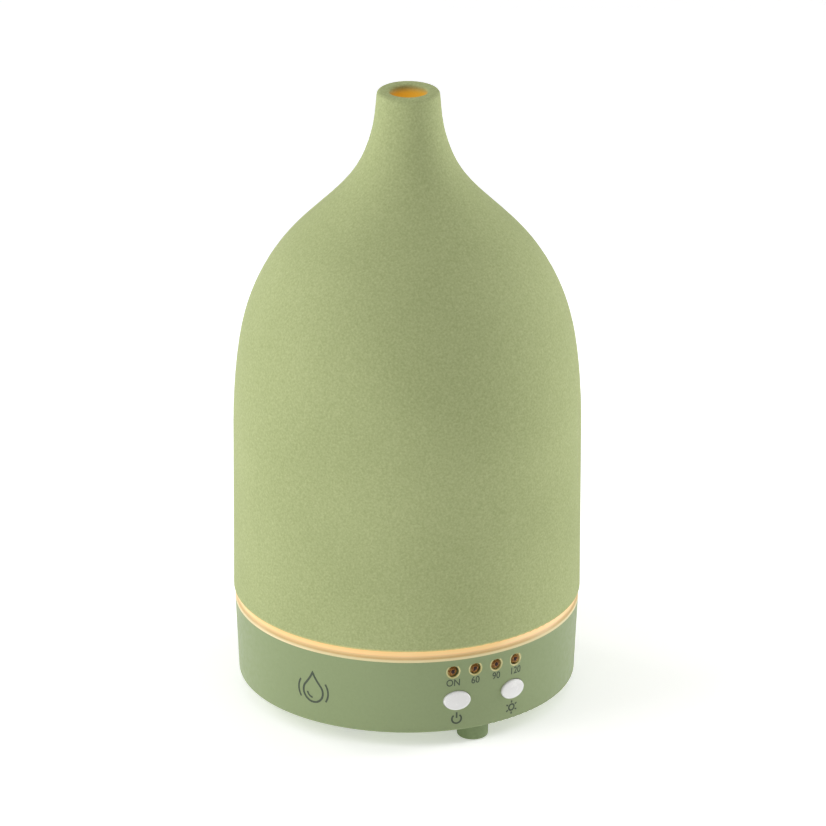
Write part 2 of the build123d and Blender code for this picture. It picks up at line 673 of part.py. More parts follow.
def driver_chip(x, y, z):
    """Fourteen-pin surface-mount chip."""
    chip = block(x - 4.35, x + 4.35, y - 1.95, y + 1.95, z + 0.15, z + 1.6)
    top_edges = chip.edges().filter_by_position(Axis.Z, z + 1.59, z + 1.61)
    chip = chamfer(top_edges, 0.25)
    for i in range(7):
        px = x - 3.81 + i * 1.27
        for side in (-1, 1):
            y0, y1 = sorted((y + side * 1.9, y + side * 2.5))
            shoulder = block(px - 0.2, px + 0.2, y0, y1, z + 0.7, z + 0.9)
            y2, y3 = sorted((y + side * 2.4, y + side * 2.6))
            drop = block(px - 0.2, px + 0.2, y2, y3, z, z + 0.9)
            y4, y5 = sorted((y + side * 2.5, y + side * 3.1))
            chip += shoulder + drop + block(px - 0.2, px + 0.2, y4, y5, z, z + 0.2)
    return chip


def socket_pins(x, y, z0, z1, half):
    """The two square pins of a header, or their clearance holes."""
    pins = [
        block(px - half, px + half, y - half, y + half, z0, z1)
        for px in (x - PIN_PITCH / 2, x + PIN_PITCH / 2)
    ]
    return pins[0] + pins[1]


def wire_socket(x, y, z):
    """Two-way wire-to-board header with an open top."""
    shell = block(x - 3.0, x + 3.0, y - 2.2, y + 2.2, z, z + 4.6)
    shell -= block(x - 2.3, x + 2.3, y - 1.5, y + 1.5, z + 1.2, z + 4.6)
    return shell + socket_pins(x, y, z + 1.2, z + 3.4, 0.25)


def wire_plug(x, y, z):
    """The moulded plug that sits in a header."""
    plug = block(x - 2.25, x + 2.25, y - 1.45, y + 1.45, z + 1.2, PLUG_TOP_Z)
    return plug - socket_pins(x, y, z + 1.2, z + 3.5, 0.3)


# --- Fan -------------------------------------------------------------------------------------


def fan_frame():
    """Square axial fan frame with a motor seat on three struts and a bearing tube."""
    half = FAN_SIZE / 2
    frame = block(FAN_X - half, FAN_X + half, -half, half, FAN_Z, FAN_Z + FAN_DEPTH)
    frame = fillet(frame.edges().filter_by(Axis.Z), 2.0)
    frame -= rod(FAN_THROAT, FAN_Z, FAN_Z + FAN_DEPTH, FAN_X)
    for angle in (30, 150, 270):
        strut = block(4.0, FAN_THROAT + 0.5, -0.8, 0.8, FAN_Z + FAN_DEPTH - 1.2, FAN_Z + FAN_DEPTH)
        frame += Pos(FAN_X, 0, 0) * Rot(0, 0, angle) * strut
    frame += rod(FAN_HUB - 0.2, FAN_Z + FAN_DEPTH - 1.2, FAN_Z + FAN_DEPTH, FAN_X)
    frame += rod(1.8, FAN_Z + 2.0, FAN_Z + FAN_DEPTH - 1.2, FAN_X)
    frame -= rod(0.8, FAN_Z + 2.0, FAN_Z + FAN_DEPTH - 0.6, FAN_X)
    return frame - fan_holes(1.45)


def fan_holes(radius):
    """The four corner holes, also the places of the fan screws."""
    half = FAN_SCREW_PITCH / 2
    places = [(FAN_X + sx * half, sy * half) for sx in (-1, 1) for sy in (-1, 1)]
    return rods(radius, FAN_Z, FAN_Z + FAN_DEPTH, places)


def fan_rotor():
    """Cup hub on a shaft, with seven pitched blades."""
    floor, top = FAN_Z + 0.8, FAN_Z + FAN_DEPTH - 1.8
    hub = rod(FAN_HUB, floor, top, FAN_X) - rod(FAN_HUB - 0.9, floor + 0.9, top, FAN_X)
    hub += rod(0.77, floor + 0.9, top + 0.8, FAN_X)
    middle = (floor + top) / 2
    for i in range(FAN_BLADES):
        blade = Pos((FAN_HUB + FAN_TIP) / 2 - 0.3, 0, 0) * Rot(38, 0, 0)
        blade = blade * Box(FAN_TIP - FAN_HUB + 0.6, 6.0, 0.7)
        blade = Pos(FAN_X, 0, middle) * Rot(0, 0, 360 * i / FAN_BLADES) * blade
        hub += blade
    ring = rod(FAN_TIP, floor, top, FAN_X) - rod(FAN_HUB - 0.9, floor + 0.9, top, FAN_X)
    shaft = rod(0.77, floor + 0.9, top + 0.8, FAN_X)
    return (hub & ring) + shaft


def fan_stator():
    """Wound four-pole stator pressed on the bearing tube inside the rotor's cup."""
    low, high = FAN_Z + 2.3, FAN_Z + FAN_DEPTH - 1.9
    core = rod(2.6, low, high, FAN_X) - rod(1.8, low, high, FAN_X)
    for i in range(4):
        arm = block(2.2, 5.2, -0.6, 0.6, low + 0.5, high - 0.5)
        coil = block(2.8, 4.7, -1.3, 1.3, low, high)
        core += Pos(FAN_X, 0, 0) * Rot(0, 0, 90 * i) * (arm + coil)
    shoes = rod(5.7, low + 0.5, high - 0.5, FAN_X) - rod(5.0, low, high, FAN_X)
    for i in range(4):
        gap = block(3.0, 7.0, -0.7, 0.7, low, high)
        shoes -= Pos(FAN_X, 0, 0) * Rot(0, 0, 45 + 90 * i) * gap
    return core + shoes


def fan_screws():
    """Four screws through the fan's corners into the bottom cover."""
    half = FAN_SCREW_PITCH / 2
    seat, tip = FAN_Z + FAN_DEPTH, BASE_FOOT_Z + 1.2
    places = [(FAN_X + sx * half, sy * half) for sx in (-1, 1) for sy in (-1, 1)]
    return Compound([hollow_screw(x, y, seat, tip, 1.0, 2.0, 1.1, False) for x, y in places])


# --- Ring board and wiring -------------------------------------------------------------------


def ring_board_parts():
    """C-shaped board under the tank's flange with nine upward-facing LEDs."""
    inner, outer = RING_BOARD_RADII
    top = RING_BOARD_Z + RING_BOARD_THICK
    board = rod(outer, RING_BOARD_Z, top) - rod(inner, RING_BOARD_Z, top)
    board -= block(-27, 27, -60, 0, 0, 30)
    board -= rods(3.25, RING_BOARD_Z, top, spots(SCREW_CIRCLE, SCREW_ANGLES))
    lamps = []
    for angle in RING_LED_ANGLES:
        place = Rot(0, 0, angle) * Pos(0, -RING_LED_CIRCLE, top + 0.4)
        lamp = Box(3.5, 2.8, 0.8) - Pos(0, 0, 0.35) * Cylinder(1.1, 0.1)
        lamps.append(place * lamp)
    return {"led_ring_board": board, "ring_leds": Compound(lamps)}


def wire(points, radii, radius=WIRE_RADIUS):
    """A round wire along straight runs joined by arcs."""
    path = FilletPolyline(*points, radius=radii)
    start = Plane(origin=path @ 0, z_dir=path % 0)
    return sweep(start * Circle(radius), path)


def wiring():
    """Internal leads between the boards, the fan and the transducer, each ending in its plug."""
    over = PLUG_TOP_Z + 0.9
    transducer, fan, control, ring = SOCKET_SPOTS
    bends = WIRE_BEND
    runs = {"transducer_leads": [], "fan_leads": [], "control_leads": [], "ring_leads": []}
    board_back = BOARD_FRONT_Y + BOARD_THICK
    electrode_z = (SEAL_BOTTOM_Z + SEAL_TOP_Z) / 2 - DISC_THICK / 2 - 0.3
    for k, shift in enumerate((-PIN_PITCH / 2, PIN_PITCH / 2)):
        x, y = transducer
        start = (shift, -3.0)
        points = [(*start, electrode_z), (*start, over), (x + shift, y, over)]
        points.append((x + shift, y, PLUG_TOP_Z))
        runs["transducer_leads"].append(wire(points, [bends, bends]))
        x, y = fan[0] + shift, fan[1]
        start_y, start_z = 9.2 - 1.2 * k, 12.0
        points = [(FAN_X + FAN_SIZE / 2, start_y, start_z), (x, start_y, start_z)]
        points += [(x, start_y, over), (x, y, over), (x, y, PLUG_TOP_Z)]
        runs["fan_leads"].append(wire(points, [1.5, 1.5, bends]))
        x, y = control[0] + shift, control[1]
        points = [(x, board_back, 17.5), (x, y, 17.5), (x, y, PLUG_TOP_Z)]
        runs["control_leads"].append(wire(points, [1.5]))
        runs["ring_leads"].append(rod(WIRE_RADIUS, PLUG_TOP_Z, RING_BOARD_Z, ring[0] + shift, ring[1]))
    return {name: Compound(pair) for name, pair in runs.items()}


def build():
    """Every node by name."""
    made = {
        "ceramic_cover": ceramic_cover(),
        "inner_lid": inner_lid(),
        "mist_chimney": mist_chimney(),
        "water_tank": water_tank(),
        "light_ring": light_ring(),
        "tank_gasket": tank_gasket(),
        "base_housing": base_housing(),
        "bottom_cover": bottom_cover(),
        "housing_screws": housing_screws(),
        "control_board": control_board(),
        "main_board": main_board(),
        "main_board_screws": main_board_screws(),
        "fan_frame": fan_frame(),
        "fan_rotor": fan_rotor(),
        "fan_stator": fan_stator(),
        "fan_screws": fan_screws(),
    }
    for group in (
        transducer_parts,
        feet,
        buttons,
        switches,
        indicators,
        power_inlet,
        board_components,
        ring_board_parts,
        wiring,
    ):
        made.update(group())
    return made


os.makedirs("parts", exist_ok=True)
for node, shape in build().items():
    export_step(shape, f"parts/{node}.step")
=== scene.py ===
import json
import math

import bmesh
import bpy
from mathutils import Matrix, Vector


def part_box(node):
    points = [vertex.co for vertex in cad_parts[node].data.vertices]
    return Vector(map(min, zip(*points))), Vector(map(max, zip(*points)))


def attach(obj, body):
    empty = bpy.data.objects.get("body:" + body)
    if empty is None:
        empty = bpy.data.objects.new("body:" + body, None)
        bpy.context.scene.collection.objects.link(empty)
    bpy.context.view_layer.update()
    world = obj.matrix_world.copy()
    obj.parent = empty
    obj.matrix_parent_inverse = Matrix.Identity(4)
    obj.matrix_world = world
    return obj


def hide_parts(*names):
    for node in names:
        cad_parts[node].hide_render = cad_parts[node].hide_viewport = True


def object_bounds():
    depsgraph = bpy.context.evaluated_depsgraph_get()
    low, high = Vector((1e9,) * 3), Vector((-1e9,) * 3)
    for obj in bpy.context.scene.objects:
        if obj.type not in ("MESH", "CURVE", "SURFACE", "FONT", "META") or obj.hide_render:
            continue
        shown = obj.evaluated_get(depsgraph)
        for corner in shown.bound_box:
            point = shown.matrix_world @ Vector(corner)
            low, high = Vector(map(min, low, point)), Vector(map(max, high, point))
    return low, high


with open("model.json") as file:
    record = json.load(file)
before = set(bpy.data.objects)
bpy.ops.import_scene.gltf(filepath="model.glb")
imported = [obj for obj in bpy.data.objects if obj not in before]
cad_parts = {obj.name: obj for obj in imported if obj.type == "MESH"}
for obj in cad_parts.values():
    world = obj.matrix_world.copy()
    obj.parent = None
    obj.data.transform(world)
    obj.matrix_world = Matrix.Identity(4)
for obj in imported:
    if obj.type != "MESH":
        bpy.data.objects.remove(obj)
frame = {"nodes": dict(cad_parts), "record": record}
cad_low, cad_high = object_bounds()
NODES = frame["nodes"]

MM = 0.001

# Outside of the base between its foot and its top, in millimetres
BASE_TAPER = 0.90
housing_low, housing_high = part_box("base_housing")
BASE_FOOT_Z = housing_low.z / MM
BASE_TOP_Z = housing_high.z / MM
BASE_TOP_R = housing_high.x / MM
BASE_FOOT_R = BASE_TOP_R - BASE_TAPER

# Print on the base, in millimetres and in degrees from the front toward +X
LEGEND_Z = 17.95
LEGEND_HEIGHT = 1.9
LETTER_WIDTH = 0.88
CAP_SHARE = 0.69
ICON_Z = 7.5
MARK_ANGLE = -60.2
MARK_Z = 14.1
INK_ABOVE = 0.03
INK_BELOW = 0.02

# Lamps, in millimetres
LAMPS = ("on", "60", "90", "120")
LAMP_RADIUS = 1.5
SKIRT_RADIUS = 1.6
DOME_HEIGHT = 1.0

# Camera: degrees, metres, and a lens in millimetres on a 36 mm sensor
VIEW_AZIMUTH = -27.3
VIEW_ELEVATION = 22.1
VIEW_YAW = 0.0468
VIEW_ROLL = 0.183
VIEW_DISTANCE = 1.8
AIM_HEIGHT = 0.07582
SENSOR_WIDTH = 36.0
FOCAL_LENGTH = 299.955

# Soft lights: name, place in metres (right and back as the camera sees it, and up), size in metres, watts
LIGHTS = (
    ("key_left", (-0.85, -0.30, 0.50), (0.6, 0.9), 4.6),
    ("rim_right", (0.66, 0.20, 0.24), (0.25, 0.7), 2.9),
    ("rim_left", (-0.62, 0.42, 0.25), (0.25, 0.7), 1.6),
    ("top_soft", (0.0, -0.1, 1.0), (0.9, 0.9), 1.7),
)
LIGHT_AIM = 0.08
WORLD_LIGHT = 0.30
WORLD_SEEN = 1.0
FLOOR_HALF = 3.0


# ---------------------------------------------------------------- node helpers


def srgb(r, g, b):
    """An 8-bit display colour as a linear RGBA tuple."""

    def lin(v):
        v = v / 255.0
        return v / 12.92 if v <= 0.04045 else ((v + 0.055) / 1.055) ** 2.4

    return (lin(r), lin(g), lin(b), 1.0)


class Mat:
    """A material being wired up: short calls that add one node each."""

    def __init__(self, name, roughness, metallic, specular):
        self.m = bpy.data.materials.new(name)
        self.m.use_nodes = True
        self.t = self.m.node_tree
        self.out = self.t.nodes["Material Output"]
        self.b = self.t.nodes["Principled BSDF"]
        self.b.inputs["Roughness"].default_value = roughness
        self.b.inputs["Metallic"].default_value = metallic
        self.b.inputs["Specular IOR Level"].default_value = specular
        coords = self.t.nodes.new("ShaderNodeTexCoord")
        self.co = coords.outputs["Object"]

    def node(self, kind, **inputs):
        n = self.t.nodes.new(kind)
        for key, value in inputs.items():
            self.put(n.inputs[key.replace("_", " ")], value)
        return n

    def put(self, socket, value):
        if isinstance(value, bpy.types.NodeSocket):
            self.t.links.new(value, socket)
        else:
            socket.default_value = value

    def noise(self, scale, detail=2.0, rough=0.5, vector=None):
        n = self.node("ShaderNodeTexNoise", Scale=scale, Detail=detail, Roughness=rough)
        self.put(n.inputs["Vector"], vector or self.co)
        return n.outputs["Fac"]

    def cells(self, scale, vector=None):
        n = self.node("ShaderNodeTexVoronoi", Scale=scale)
        self.put(n.inputs["Vector"], vector or self.co)
        return n.outputs["Distance"]

    def stretch(self, x, y, z):
        n = self.node("ShaderNodeMapping")
        self.put(n.inputs["Vector"], self.co)
        n.inputs["Scale"].default_value = (x, y, z)
        return n.outputs["Vector"]

    def math(self, op, a, b=0.0):
        n = self.node("ShaderNodeMath")
        n.operation = op
        self.put(n.inputs[0], a)
        self.put(n.inputs[1], b)
        return n.outputs[0]

    def span(self, value, low, high, to_low=0.0, to_high=1.0, smooth=False):
        n = self.node("ShaderNodeMapRange")
        n.interpolation_type = "SMOOTHSTEP" if smooth else "LINEAR"
        self.put(n.inputs["Value"], value)
        self.put(n.inputs["From Min"], low)
        self.put(n.inputs["From Max"], high)
        self.put(n.inputs["To Min"], to_low)
        self.put(n.inputs["To Max"], to_high)
        return n.outputs["Result"]

    def mix(self, fac, a, b):
        n = self.node("ShaderNodeMix")
        n.data_type = "RGBA"
        self.put(n.inputs["Factor"], fac)
        self.put(n.inputs[6], a)
        self.put(n.inputs[7], b)
        return n.outputs[2]

    def ramp(self, fac, stops):
        """Colours at rising positions from 0 to 1 along a value."""
        n = self.node("ShaderNodeValToRGB", Fac=fac)
        elements = n.color_ramp.elements
        while len(elements) < len(stops):
            elements.new(0.5)
        for element, (at, colour) in zip(elements, stops):
            element.position = at
            element.color = colour
        return n.outputs["Color"]

    def xyz(self):
        n = self.node("ShaderNodeSeparateXYZ")
        self.put(n.inputs[0], self.co)
        return n.outputs

    def bump(self, height, distance, strength, normal=None):
        n = self.node("ShaderNodeBump")
        self.put(n.inputs["Height"], height)
        n.inputs["Distance"].default_value = distance
        n.inputs["Strength"].default_value = strength
        if normal is not None:
            self.put(n.inputs["Normal"], normal)
        return n.outputs["Normal"]

    def base(self, value):
        self.put(self.b.inputs["Base Color"], value)

    def rough(self, value):
        self.put(self.b.inputs["Roughness"], value)

    def normal(self, value):
        self.put(self.b.inputs["Normal"], value)


# ---------------------------------------------------------------- materials


def speckled(m, light, dark, grain, contrast):
    """Two colours broken up by fine grain over a slow, faint drift."""
    fine = m.noise(1.0 / grain, 3.0, 0.62)
    slow = m.noise(28.0, 2.0, 0.5)
    grains = m.span(fine, 0.5 - contrast * 0.5, 0.5 + contrast * 0.5)
    drift = m.span(slow, 0.3, 0.7, -0.12, 0.12)
    return m.mix(m.math("ADD", grains, drift), dark, light)


def cover_material():
    """Matte sand-textured glaze outside, and painted glow in the bore standing in for the ring's warm light
    there.
    """
    m = Mat("sanded_ceramic", 0.82, 0.0, 0.28)
    x, y, z = m.xyz()
    colour = speckled(m, srgb(184, 193, 140), srgb(156, 166, 114), 0.00055, 0.46)
    pits = m.span(m.cells(1500.0), 0.02, 0.22)
    colour = m.mix(m.span(pits, 0.0, 1.0, 0.14, 0.0), colour, srgb(120, 130, 86))
    m.rough(m.span(m.noise(900.0), 0.3, 0.7, 0.74, 0.92))
    grain = m.bump(m.noise(1500.0, 3.0, 0.6), 0.00012, 0.55)
    m.normal(m.bump(m.noise(260.0, 2.0, 0.5), 0.00010, 0.35, grain))
    # Inside wall of the neck: the normal points back at the axis there.
    geo = m.node("ShaderNodeNewGeometry")
    radial = m.node("ShaderNodeCombineXYZ")
    m.put(radial.inputs[0], x)
    m.put(radial.inputs[1], y)
    facing = m.node("ShaderNodeVectorMath")
    facing.operation = "DOT_PRODUCT"
    m.put(facing.inputs[0], geo.outputs["True Normal"])
    m.put(facing.inputs[1], radial.outputs[0])
    inward = m.math("LESS_THAN", facing.outputs["Value"], 0.0)
    # The unlit band at the mouth is a little deeper at the back.
    top = m.math("ADD", cad_high.z - 0.0002, m.math("MULTIPLY", y, -0.10))
    depth = m.span(m.math("SUBTRACT", top, z), 0.0, 0.0020, smooth=True)
    # Painted glow: the bore wall gets emission and a warm base colour, standing in for the ring's light
    # falling there.
    lit = m.math("MULTIPLY", inward, depth)
    streaks = m.noise(1.0, 2.0, 0.5, m.stretch(420.0, 420.0, 90.0))
    # Painted glow colour: lighter and yellower toward +X, with painted streaks.
    warm = m.mix(m.span(x, -0.004, 0.005), srgb(170, 104, 6), srgb(196, 148, 34))
    glow = m.mix(m.span(streaks, 0.35, 0.65, 0.0, 0.3), warm, srgb(214, 150, 40))
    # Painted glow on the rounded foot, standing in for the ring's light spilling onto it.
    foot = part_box("ceramic_cover")[0].z
    spill = m.span(z, foot + 0.0010, foot + 0.0001, smooth=True)
    m.put(m.b.inputs["Emission Color"], m.mix(spill, glow, srgb(226, 160, 74)))
    bore_glow, foot_glow = 0.86, 0.42
    strength = m.math("ADD", m.math("MULTIPLY", lit, bore_glow), m.math("MULTIPLY", spill, foot_glow))
    m.put(m.b.inputs["Emission Strength"], strength)
    # Base colour is painted amber-brown where the bore glow is painted.
    m.base(m.mix(m.math("MULTIPLY", lit, 0.8), colour, srgb(120, 74, 20)))
    return m.m


def base_material():
    """Satin moulded plastic with a fine spark-eroded texture."""
    m = Mat("moulded_green_plastic", 0.46, 0.0, 0.42)
    colour = speckled(m, srgb(146, 161, 116), srgb(139, 154, 109), 0.0007, 0.9)
    m.base(colour)
    m.rough(m.span(m.noise(700.0, 2.0), 0.3, 0.7, 0.40, 0.54))
    m.normal(m.bump(m.noise(2600.0, 2.0, 0.6), 0.00004, 0.35))
    return m.m


def ring_material():
    """Frosted light guide: brightest in the band under the cover, dimmer along its lower lip, with painted
    highlight streaks.
    """
    m = Mat("frosted_light_guide", 0.42, 0.0, 0.3)
    band = 0.0035
    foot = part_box("light_ring")[0].z
    h = m.span(m.xyz()[2], foot, foot + band)
    stops = [
        (0.0, srgb(212, 200, 156)),
        (0.17, srgb(216, 203, 158)),
        (0.24, srgb(204, 178, 128)),
        (0.40, srgb(216, 186, 134)),
        (0.55, srgb(244, 206, 148)),
        (0.80, srgb(246, 204, 142)),
    ]
    cloud = m.span(m.noise(160.0, 2.0), 0.3, 0.7, 0.0, 0.12)
    tone = m.mix(cloud, m.ramp(h, stops), srgb(250, 184, 104))
    # Painted highlight: pale streaks swept round the guide, in both its colour and its glow, stand in for
    # reflections.
    sweep = m.noise(1.0, 1.0, 0.4, m.stretch(34.0, 34.0, 260.0))
    tone = m.mix(m.span(sweep, 0.56, 0.70, 0.0, 0.45, smooth=True), tone, srgb(250, 226, 188))
    m.base(tone)
    m.put(m.b.inputs["Emission Color"], tone)
    m.put(m.b.inputs["Emission Strength"], m.span(h, 0.2, 0.6, 0.16, 0.22))
    m.normal(m.bump(m.noise(1800.0, 2.0), 0.00003, 0.3))
    return m.m


def button_material():
    """Gloss white key with very faint mould flow."""
    m = Mat("gloss_white_plastic", 0.24, 0.0, 0.5)
    flow = m.noise(240.0, 2.0)
    m.base(m.mix(m.span(flow, 0.3, 0.7), srgb(249, 248, 247), srgb(242, 241, 240)))
    m.rough(m.span(m.noise(600.0), 0.3, 0.7, 0.20, 0.30))
    m.normal(m.bump(flow, 0.00005, 0.15))
    m.b.inputs["Coat Weight"].default_value = 0.25
    return m.m


def lens_material():
    """Clear epoxy over a gilt cup, whose look through the epoxy is painted as colour by distance from the
    axis: dark down the middle, gilt round it, a painted pale highlight at the rim, with painted glints.
    """
    m = Mat("epoxy_painted_reflection", 0.08, 0.0, 0.22)
    rim = m.node("ShaderNodeAttribute")
    rim.attribute_name = "rim"
    painted_glints = m.span(m.noise(1500.0, 2.0, 0.6), 0.3, 0.7, -0.2, 0.2)
    stops = [
        (0.0, srgb(44, 22, 14)),
        (0.34, srgb(58, 30, 18)),
        (0.44, srgb(186, 130, 60)),
        (0.58, srgb(104, 64, 26)),
        (0.78, srgb(164, 118, 54)),
        (0.98, srgb(210, 186, 118)),
    ]
    # Painted reflection and glints: this colour stands in for the gilt cup seen through the epoxy and the
    # light caught at its rim.
    m.base(m.ramp(m.math("ADD", rim.outputs["Fac"], painted_glints), stops))
    m.rough(m.span(m.noise(1500.0), 0.3, 0.7, 0.03, 0.09))
    m.b.inputs["Transmission Weight"].default_value = 0.1
    m.b.inputs["IOR"].default_value = 1.53
    return m.m


def rim_material():
    """Clear flange round each lamp, with a pale painted highlight and a faint painted glow standing in for
    the ring's light carried to its edge.
    """
    m = Mat("flange_painted_glow", 0.12, 0.0, 0.5)
    flow = m.noise(700.0, 2.0)
    # Painted highlight: pale colour where light catches the flange.
    m.base(m.mix(m.span(flow, 0.3, 0.7), srgb(214, 208, 150), srgb(188, 182, 120)))
    m.rough(m.span(m.noise(1500.0), 0.3, 0.7, 0.08, 0.18))
    m.b.inputs["Coat Weight"].default_value = 0.6
    # Painted glow: emission on a part that is no lamp.
    m.put(m.b.inputs["Emission Color"], srgb(206, 190, 110))
    m.put(m.b.inputs["Emission Strength"], m.span(flow, 0.3, 0.7, 0.04, 0.14))
    return m.m


def metal_material(name, bright, dull, rough, lines=2400.0):
    """Metal with drawn lines and slightly uneven roughness."""
    m = Mat(name, rough, 1.0, 0.5)
    drawn = m.noise(1.0, 3.0, 0.6, m.stretch(lines, lines, lines * 0.08))
    m.base(m.mix(m.span(drawn, 0.3, 0.7), bright, dull))
    m.rough(m.span(m.noise(800.0), 0.3, 0.7, rough * 0.8, rough * 1.25))
    m.normal(m.bump(drawn, 0.00002, 0.3))
    return m.m


def plastic_material(name, light, dark, rough):
    """Moulded plastic or rubber with fine grain in colour, roughness and relief."""
    m = Mat(name, rough, 0.0, 0.4)
    grain = 0.0007
    m.base(speckled(m, light, dark, grain, 0.6))
    m.rough(m.span(m.noise(0.6 / grain), 0.3, 0.7, rough * 0.85, min(1.0, rough * 1.15)))
    m.normal(m.bump(m.noise(1.2 / grain, 2.0, 0.6), 0.00004, 0.4))
    return m.m


def milky_material(name, tint, through):
    """Translucent polypropylene: light passes softly, with faint flow marks."""
    m = Mat(name, 0.35, 0.0, 0.45)
    flow = m.noise(1.0, 3.0, 0.5, m.stretch(60.0, 60.0, 14.0))
    m.base(m.mix(m.span(flow, 0.3, 0.7), tint, srgb(238, 240, 235)))
    m.rough(m.span(m.noise(500.0), 0.3, 0.7, 0.28, 0.42))
    m.normal(m.bump(flow, 0.0001, 0.2))
    m.b.inputs["Transmission Weight"].default_value = through
    m.b.inputs["IOR"].default_value = 1.49
    m.b.inputs["Subsurface Weight"].default_value = 0.2
    m.b.inputs["Subsurface Radius"].default_value = (0.004, 0.004, 0.004)
    return m.m


def board_material():
    """Green solder mask over the copper's faint relief."""
    m = Mat("solder_mask", 0.32, 0.0, 0.5)
    tracks = m.cells(260.0, m.stretch(1.0, 1.0, 0.0))
    lines = m.span(tracks, 0.24, 0.30)
    m.base(m.mix(lines, srgb(28, 104, 62), srgb(18, 78, 48)))
    m.rough(m.span(m.noise(900.0), 0.3, 0.7, 0.26, 0.38))
    m.normal(m.bump(lines, 0.00004, 0.5))
    return m.m


def wound_material():
    """Enamelled copper wire laid in turns, with painted shade between the turns and painted highlight on
    them.
    """
    m = Mat("enamelled_copper", 0.28, 1.0, 0.5)
    radians_per_metre = 16000.0
    turns = m.math("SINE", m.math("MULTIPLY", m.xyz()[2], radians_per_metre))
    # Painted shade and highlight: colour darker in the troughs between turns and lighter on their crests.
    m.base(m.mix(m.span(turns, -1.0, 1.0), srgb(120, 52, 24), srgb(206, 118, 66)))
    m.rough(m.span(m.noise(1200.0), 0.3, 0.7, 0.22, 0.36))
    m.normal(m.bump(turns, 0.00008, 0.6))
    return m.m


def print_material():
    """Pad-printed legend ink."""
    m = Mat("legend_ink", 0.6, 0.0, 0.35)
    wear = m.noise(2200.0, 3.0, 0.6)
    m.base(m.mix(m.span(wear, 0.3, 0.75), srgb(70, 80, 66), srgb(86, 96, 80)))
    m.rough(m.span(wear, 0.3, 0.7, 0.55, 0.7))
    m.normal(m.bump(wear, 0.00001, 0.3))
    return m.m


def floor_material():
    """Plain pale studio sweep."""
    m = Mat("pale_sweep", 0.7, 0.0, 0.2)
    m.base(m.mix(m.span(m.noise(3.0), 0.3, 0.7), srgb(250, 250, 250), srgb(246, 246, 246)))
    m.rough(m.span(m.noise(40.0), 0.3, 0.7, 0.66, 0.74))
    # The sweep is lit up evenly away from the object, so it stays pale to its far edge.
    x, y = m.xyz()[:2]
    far = m.math("SQRT", m.math("ADD", m.math("MULTIPLY", x, x), m.math("MULTIPLY", y, y)))
    m.b.inputs["Emission Color"].default_value = (1.0, 1.0, 1.0, 1.0)
    m.put(m.b.inputs["Emission Strength"], m.span(far, 0.5, 1.5, 0.40, 0.74))
    return m.m


COVER = cover_material()
BASE = base_material()
RING = ring_material()
BUTTON = button_material()
LENS = lens_material()
PAINTED_GLOW_FLANGE = rim_material()
INK = print_material()
GOLD = metal_material("plated_leadframe", srgb(176, 116, 48), srgb(104, 62, 24), 0.3)
STEEL = metal_material("zinc_plated_steel", srgb(196, 198, 200), srgb(150, 152, 156), 0.34)
BRIGHT = metal_material("drawn_aluminium", srgb(206, 208, 211), srgb(172, 174, 178), 0.3)
BRASS = metal_material("plated_brass", srgb(226, 198, 128), srgb(212, 180, 106), 0.3, 3600.0)
TANK = milky_material("milky_polypropylene", srgb(246, 247, 243), 0.18)
LID = milky_material("clear_polypropylene", srgb(246, 247, 244), 0.4)
SOFT = plastic_material("soft_green_rubber", srgb(134, 152, 106), srgb(122, 140, 96), 0.62)
SILICONE = plastic_material("silicone", srgb(232, 230, 222), srgb(214, 211, 202), 0.48)
BLACK = plastic_material("black_moulding", srgb(44, 45, 48), srgb(26, 27, 29), 0.42)
NATURAL = plastic_material("natural_nylon", srgb(236, 234, 224), srgb(214, 210, 196), 0.4)
FERRITE = plastic_material("ferrite", srgb(64, 62, 66), srgb(40, 38, 42), 0.5)
WIRE = plastic_material("wire_sleeve", srgb(178, 40, 34), srgb(146, 26, 24), 0.38)
PACKAGE = plastic_material("led_package", srgb(248, 240, 196), srgb(236, 214, 120), 0.3)
BOARD = board_material()
COPPER = wound_material()

BY_SLOT = {
    "cover_glaze": COVER,
    "base_plastic": BASE,
    "ring_plastic": RING,
    "tank_plastic": TANK,
    "button_plastic": BUTTON,
    "lens_plastic": LENS,
    "leadframe": GOLD,
    "soft_rubber": SOFT,
    "silicone": SILICONE,
    "screw_steel": STEEL,
    "board_laminate": BOARD,
    "black_plastic": BLACK,
    "white_plastic": NATURAL,
    "can_aluminium": BRIGHT,
    "sink_aluminium": BRIGHT,
    "ferrite": FERRITE,
    "copper_wire": COPPER,
    "piezo_brass": BRASS,
    "wire_insulation": WIRE,
    "led_package": PACKAGE,
}
SLOT_OF = {s["node"]: s["material_slot"] for s in frame["record"]["subparts"]}


def paint_nodes():
    """Every CAD node gets its slot's material; the lid and its chimney get a clearer one than the tank."""
    for name, obj in NODES.items():
        material = LID if name in ("inner_lid", "mist_chimney") else BY_SLOT[SLOT_OF[name]]
        if not obj.material_slots:
            obj.data.materials.append(None)
        for s in obj.material_slots:
            s.link = "OBJECT"
            s.material = material


# ---------------------------------------------------------------- mesh helpers


def base_radius(z):
    """The housing's outside radius in millimetres at a height in millimetres."""
    share = (z - BASE_FOOT_Z) / (BASE_TOP_Z - BASE_FOOT_Z)
    return BASE_FOOT_R + share * (BASE_TOP_R - BASE_FOOT_R)


def add_piece(name, mesh, material, body, smooth=True):
    """Links a finished mesh as a piece that rides on a body."""
    obj = bpy.data.objects.new(name, mesh)
    bpy.context.scene.collection.objects.link(obj)
    mesh.materials.clear()
    mesh.materials.append(material)
    for p in mesh.polygons:
        p.use_smooth = smooth
    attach(obj, body)
    return obj


def from_bmesh(name, bm):
    """A named mesh with its normals facing out; frees the bmesh."""
    bmesh.ops.recalc_face_normals(bm, faces=bm.faces)
    mesh = bpy.data.meshes.new(name)
    bm.to_mesh(mesh)
    bm.free()
    return mesh


